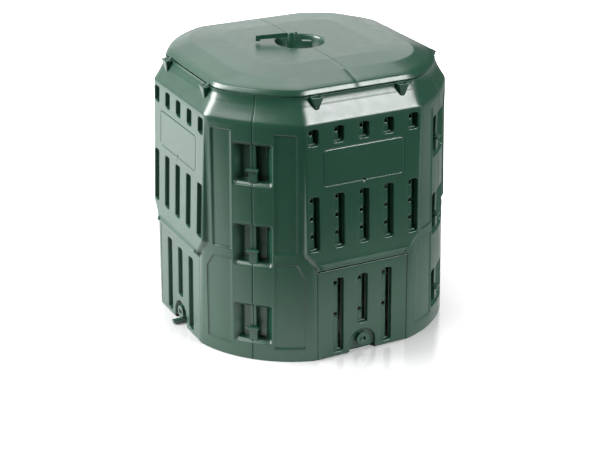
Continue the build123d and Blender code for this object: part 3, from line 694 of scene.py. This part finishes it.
def make_light():
    bpy.context.scene.view_settings.view_transform = "Standard"
    world = bpy.data.worlds.new("world")
    bpy.context.scene.world = world
    world.use_nodes = True
    world.node_tree.nodes["Background"].inputs[0].default_value = (1, 1, 1, 1)
    path = world.node_tree.nodes.new("ShaderNodeLightPath")
    strength = world.node_tree.nodes.new("ShaderNodeMapRange")
    strength.inputs["To Min"].default_value = WORLD_LIGHT
    strength.inputs["To Max"].default_value = WORLD_SEEN
    world.node_tree.links.new(path.outputs["Is Camera Ray"], strength.inputs["Value"])
    world.node_tree.links.new(strength.outputs["Result"], world.node_tree.nodes["Background"].inputs[1])
    for light in LIGHTS:
        area_light(*light)


# ------------------------------------------------------------------ materials
def nodes_of(material):
    material.use_nodes = True
    tree = material.node_tree
    return tree.nodes, tree.links, tree.nodes["Principled BSDF"]


ROUGHNESS, GRAIN = (0.28, 0.34), 0.05


def plastic(name, dark, light):
    """Moulded plastic: cloudy colour, uneven gloss and a fine grain."""
    material = bpy.data.materials.new(name)
    nodes, links, shader = nodes_of(material)
    place = nodes.new("ShaderNodeTexCoord")

    def noise(scale, detail, rough=0.5):
        n = nodes.new("ShaderNodeTexNoise")
        n.inputs["Scale"].default_value = scale
        n.inputs["Detail"].default_value = detail
        n.inputs["Roughness"].default_value = rough
        links.new(place.outputs["Object"], n.inputs["Vector"])
        return n.outputs["Fac"]

    def ramp(value, low, high):
        r = nodes.new("ShaderNodeValToRGB")
        for element, position, colour in zip(r.color_ramp.elements, (0.3, 0.7), (low, high)):
            element.position = position
            element.color = (*colour, 1)
        links.new(value, r.inputs["Fac"])
        return r.outputs["Color"]

    links.new(ramp(noise(5.0, 4.0), dark, light), shader.inputs["Base Color"])
    grey = ramp(noise(38.0, 5.0, 0.6), (ROUGHNESS[0],) * 3, (ROUGHNESS[1],) * 3)
    links.new(grey, shader.inputs["Roughness"])
    bump = nodes.new("ShaderNodeBump")
    bump.inputs["Strength"].default_value = GRAIN
    bump.inputs["Distance"].default_value = 0.0006
    links.new(noise(900.0, 2.0, 0.6), bump.inputs["Height"])
    links.new(bump.outputs["Normal"], shader.inputs["Normal"])
    shader.inputs["IOR"].default_value = 1.49
    shader.inputs["Specular IOR Level"].default_value = 0.5
    return material


BIN_SHADE_EDGE = (0.375, 0.395)  # the painted shade on the ground under the bin ends here, in metres


def floor_material():
    """Glossy white to the camera, whitened further out by painted emission; to the object it is bright on the
    left and behind and dark in front, painted light and shade. The ground under the bin has painted shade for
    all rays.
    """
    material = bpy.data.materials.new("floor")
    nodes, links, shader = nodes_of(material)
    nodes.remove(shader)
    place = nodes.new("ShaderNodeNewGeometry")

    def spread(value, low, high, start, stop):
        m = nodes.new("ShaderNodeMapRange")
        m.inputs["From Min"].default_value = low
        m.inputs["From Max"].default_value = high
        m.inputs["To Min"].default_value = start
        m.inputs["To Max"].default_value = stop
        links.new(value, m.inputs["Value"])
        return m.outputs["Result"]

    def measure(operation, other):
        v = nodes.new("ShaderNodeVectorMath")
        v.operation = operation
        links.new(place.outputs["Position"], v.inputs[0])
        v.inputs[1].default_value = other
        return v.outputs["Value"]

    def times(first, second):
        m = nodes.new("ShaderNodeMath")
        m.operation = "MULTIPLY"
        links.new(first, m.inputs[0])
        links.new(second, m.inputs[1])
        return m.outputs[0]

    def diffuse(value):
        d = nodes.new("ShaderNodeBsdfDiffuse")
        links.new(value, d.inputs["Color"])
        return d.outputs["BSDF"]

    def mixed(factor, first, second):
        m = nodes.new("ShaderNodeMixShader")
        links.new(factor, m.inputs["Fac"])
        links.new(first, m.inputs[1])
        links.new(second, m.inputs[2])
        return m.outputs["Shader"]

    distance = measure("LENGTH", (0, 0, 0))
    # painted shade: zero under the bin, so the object's rays find the ground there dark
    outside = spread(distance, *BIN_SHADE_EDGE, 0.0, 1.0)
    # painted light and shade that only the object's rays see: bright near the bin, dark further in front
    painted_shade_front = spread(measure("DOT_PRODUCT", (-0.3, -0.95, 0)), 0.6, 1.1, 0.8, 0.04)
    # painted shade: darker to the right, brightest on the left where the key light falls
    painted_shade_right = spread(measure("DOT_PRODUCT", (1, 0, 0)), 0.2, 1.1, 1.0, 0.35)
    painted_floor_light = diffuse(times(times(painted_shade_front, painted_shade_right), outside))
    gloss = nodes.new("ShaderNodeBsdfGlossy")
    gloss.inputs["Roughness"].default_value = 0.16
    # painted emission: the floor gives off light of its own, none near the bin and rising further out, so
    # that it reads white to the camera
    painted_emission = nodes.new("ShaderNodeEmission")
    links.new(spread(distance, 0.42, 1.4, 0.0, 1.2), painted_emission.inputs["Strength"])
    # painted shade: to the camera the ground under the bin is darker, 0.35 against 0.6, and has no gloss
    pale_with_bin_shade = diffuse(spread(distance, *BIN_SHADE_EDGE, 0.35, 0.6))
    seen = mixed(spread(distance, *BIN_SHADE_EDGE, 0.0, 0.28), pale_with_bin_shade, gloss.outputs["BSDF"])
    total = nodes.new("ShaderNodeAddShader")
    links.new(seen, total.inputs[0])
    links.new(painted_emission.outputs["Emission"], total.inputs[1])
    # the object's rays see the painted floor light and shade, the camera sees the glossy floor with its
    # painted emission
    path = nodes.new("ShaderNodeLightPath")
    surface = mixed(path.outputs["Is Camera Ray"], painted_floor_light, total.outputs["Shader"])
    links.new(surface, nodes["Material Output"].inputs["Surface"])
    return material


# ------------------------------------------------------------------ assembly
def add_piece(name, mesh, material, body, stands_for, quarter_turns=0):
    if not mesh.materials:
        mesh.materials.append(material)
    piece = bpy.data.objects.new(name, mesh)
    bpy.context.scene.collection.objects.link(piece)
    piece.matrix_world = Matrix.Rotation(math.pi / 2 * quarter_turns, 4, "Z")
    piece.modifiers.new("normals", "WEIGHTED_NORMAL")
    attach(piece, body)
    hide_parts(stands_for)
    return piece


def dress_cad_node(name, material, edge):
    """A CAD node that stays: coplanar facets merged, its edges rounded."""
    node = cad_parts[name]
    node.data.materials.clear()
    node.data.materials.append(material)
    weld = node.modifiers.new("weld", "WELD")
    weld.merge_threshold = 0.00002
    flat = node.modifiers.new("flat", "DECIMATE")
    flat.decimate_type = "DISSOLVE"
    flat.angle_limit = math.radians(1.0)
    bevel = node.modifiers.new("bevel", "BEVEL")
    bevel.width = edge * MM
    bevel.segments = 2
    bevel.limit_method = "ANGLE"
    bevel.angle_limit = math.radians(28)
    node.modifiers.new("normals", "WEIGHTED_NORMAL")


def main():
    make_camera()
    make_light()
    green = plastic("moulded_green", (0.007, 0.036, 0.021), (0.010, 0.044, 0.026))
    bpy.ops.mesh.primitive_plane_add(size=40, location=(0, 0, -0.0005))
    floor = bpy.context.object
    floor.name = "floor"
    floor.data.materials.append(floor_material())

    wall, hatch = make_wall_mesh(), make_hatch_mesh()
    for turn, side in enumerate(SIDES):
        add_piece(f"panel_{side}", wall, green, "body", f"wall_{side}", turn)
        add_piece(f"flap_{side}", hatch, green, f"hatch_{side}", f"hatch_{side}", turn)
    for side, name in ((-1, "left"), (1, "right")):
        mesh = thick_mesh(f"cover_{name}", make_lid_grid(side), [dish_floor(side)] + lid_lugs(side), SKIN)
        add_piece(f"cover_{name}", mesh, green, f"lid_{name}", f"lid_{name}")
    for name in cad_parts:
        if name.startswith(("clip_", "latch_")) or name in ("lid_handle", "handle_retainer"):
            dress_cad_node(name, green, 1.2)


main()
